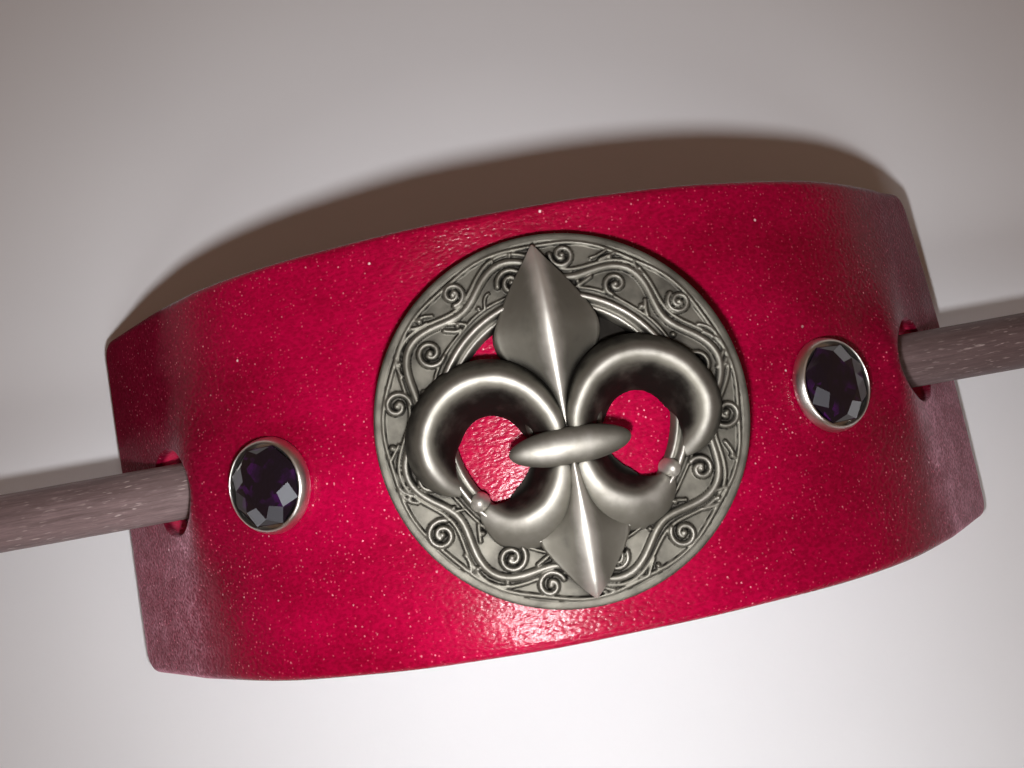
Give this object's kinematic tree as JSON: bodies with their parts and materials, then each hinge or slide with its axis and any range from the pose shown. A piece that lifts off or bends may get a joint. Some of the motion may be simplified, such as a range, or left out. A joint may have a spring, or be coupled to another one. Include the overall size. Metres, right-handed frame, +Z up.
{
  "type": "leather stick barrette",
  "caption": "Arched leather strap hair slide with a pierced round concho, small crystal rivets and a removable wooden stick through punched holes.",
  "frame": {"origin": "on the plane the strap's ends rest on, below the centre of the concho", "axes": "+X along the strap and the stick, towards the stick's tapered end; +Y across the strap, towards the tip of the concho's upper petal; +Z up, out of the concho's face"},
  "size_m": [0.17, 0.0414, 0.0329],
  "materials": {
    "leather": "crimson dye, burnished and sealed, satin to glossy",
    "antique_silver": "silver plate, darkened in the recesses and rubbed bright on the ridges",
    "polished_silver": "polished plate",
    "crystal": "deep purple faceted glass with a foil back",
    "rivet_steel": "nickel plate",
    "stained_wood": "taupe brown stain, satin, fine grain along the stick"
  },
  "bodies": {
    "strap": {"strap": "leather", "left_crystal_cup": "polished_silver", "left_crystal": "crystal", "left_rivet": "rivet_steel", "right_crystal_cup": "polished_silver", "right_crystal": "crystal", "right_rivet": "rivet_steel"},
    "concho": {"concho": "antique_silver", "concho_screw": "antique_silver"},
    "stick": {"hair_stick": "stained_wood"}
  },
  "joints": [
    {"name": "concho_turn", "type": "hinge", "parent": "strap", "child": "concho", "pos_m": [0, 0, 0.0281], "axis": [0, 0, 1], "continuous": true},
    {"name": "stick_slide", "type": "slide", "parent": "strap", "child": "stick", "axis": [1, 0, 0], "range_m": [-0.14, 0.14]}
  ]
}
